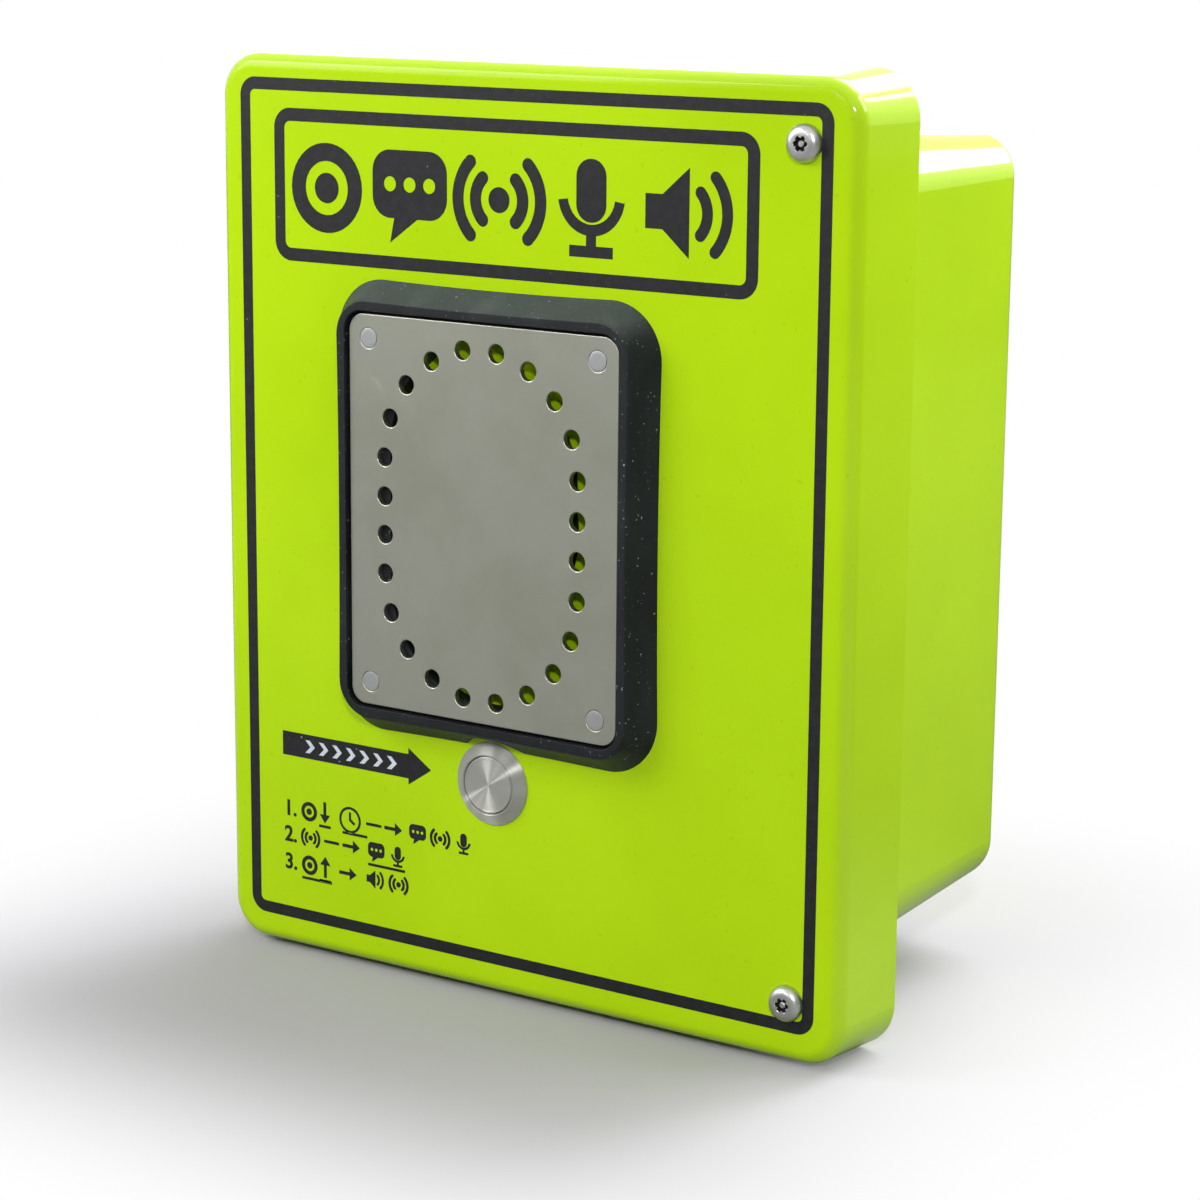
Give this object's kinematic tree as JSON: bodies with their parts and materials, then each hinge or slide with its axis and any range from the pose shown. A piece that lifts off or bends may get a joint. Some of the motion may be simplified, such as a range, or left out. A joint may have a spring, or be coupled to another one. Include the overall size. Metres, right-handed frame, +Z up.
{
  "type": "wall-mounted call box intercom",
  "caption": "Wall-mounted outdoor call box: a deep moulded box with a hinged cover that carries a speaker grille in a rubber bezel and a flush metal push button.",
  "frame": {"origin": "centre of the box's rear face, on the wall", "axes": "+X to the right as seen from the front, +Y into the wall, +Z up"},
  "size_m": [0.2001, 0.1213, 0.242],
  "materials": {
    "lime_shell": "glossy moulded gelcoat",
    "black_rubber": "dull moulded rubber",
    "stainless": "satin stainless steel",
    "polished_steel": "polished stainless steel",
    "zinc_steel": "zinc-plated steel",
    "aluminium_sheet": "mill finish",
    "brass": "plain brass",
    "black_plastic": "matt moulded plastic",
    "white_plastic": "matt moulded plastic",
    "circuit_board": "solder mask over fibreglass",
    "ferrite": "ground ferrite",
    "paper_cone": "pressed paper",
    "copper": "enamelled copper wire",
    "cell_wrap": "printed film wrap, plain",
    "cable_jacket": "soft cable jacket"
  },
  "bodies": {
    "enclosure": {"rear_box": "lime_shell", "cover_seal": "black_rubber", "screw_inserts": "brass", "wall_washers": "black_rubber", "hinge_box_leaf": "stainless", "hinge_pin": "polished_steel", "hinge_box_rivets": "stainless", "back_panel": "aluminium_sheet", "panel_screws": "zinc_steel", "battery_holder": "black_plastic", "battery_cells": "cell_wrap", "battery_springs": "zinc_steel", "battery_contacts": "zinc_steel", "battery_straps": "zinc_steel", "strap_screws": "zinc_steel", "battery_harness": "cable_jacket"},
    "cover": {"front_cover": "lime_shell", "hinge_cover_leaf": "stainless", "hinge_cover_rivets": "stainless", "speaker_bezel": "black_rubber", "grille_plate": "stainless", "grille_studs": "stainless", "grille_nuts": "zinc_steel", "speaker_gasket": "black_rubber", "speaker_basket": "zinc_steel", "speaker_top_plate": "zinc_steel", "speaker_magnet": "ferrite", "speaker_yoke": "zinc_steel", "speaker_screws": "zinc_steel", "speaker_surround": "black_rubber", "speaker_spider": "paper_cone", "microphone_boot": "black_rubber", "microphone_capsule": "aluminium_sheet", "button_housing": "stainless", "button_seal": "black_rubber", "button_nut": "stainless", "button_base": "black_plastic", "button_terminals": "brass", "button_spring": "polished_steel", "radio_board": "circuit_board", "radio_shield": "zinc_steel", "board_components": "black_plastic", "board_screws": "zinc_steel", "aerial_connector": "brass", "aerial": "black_rubber", "speaker_lead": "cable_jacket", "button_lead": "cable_jacket", "microphone_lead": "cable_jacket"},
    "cone": {"speaker_cone": "paper_cone", "voice_coil": "copper", "dust_cap": "paper_cone"},
    "plunger": {"button_plunger": "stainless"},
    "upper_retainer": {"upper_retainer": "white_plastic"},
    "upper_screw": {"upper_screw": "polished_steel"},
    "lower_retainer": {"lower_retainer": "white_plastic"},
    "lower_screw": {"lower_screw": "polished_steel"}
  },
  "joints": [
    {"name": "cover_hinge", "type": "hinge", "parent": "enclosure", "child": "cover", "pos_m": [-0.1001, -0.0866, 0], "axis": [0, 0, -1], "range_deg": [0, 120], "deforming": ["battery_harness"]},
    {"name": "button_press", "type": "slide", "parent": "cover", "child": "plunger", "axis": [0, 1, 0], "range_m": [0, 0.002], "stiffness_N_per_m": 1500, "springref_m": -0.002, "deforming": ["button_spring"]},
    {"name": "cone_travel", "type": "slide", "parent": "cover", "child": "cone", "axis": [0, -1, 0], "range_m": [-0.0005, 0.0005], "stiffness_N_per_m": 500, "deforming": ["speaker_surround", "speaker_spider"]},
    {"name": "upper_screw_slide", "type": "slide", "parent": "cover", "child": "upper_retainer", "axis": [0, -1, 0], "range_m": [0, 0.00741]},
    {"name": "upper_screw_turn", "type": "hinge", "parent": "upper_retainer", "child": "upper_screw", "pos_m": [0.0813, -0.114, 0.1043], "axis": [0, -1, 0], "range_deg": [0, 2520]},
    {"name": "lower_screw_slide", "type": "slide", "parent": "cover", "child": "lower_retainer", "axis": [0, -1, 0], "range_m": [0, 0.00741]},
    {"name": "lower_screw_turn", "type": "hinge", "parent": "lower_retainer", "child": "lower_screw", "pos_m": [0.0813, -0.114, -0.1043], "axis": [0, -1, 0], "range_deg": [0, 2520]}
  ],
  "couplings": [
    {"joint": "upper_screw_turn", "follows": "upper_screw_slide", "rad_per_m": 5938.7},
    {"joint": "lower_screw_turn", "follows": "lower_screw_slide", "rad_per_m": 5938.7}
  ]
}
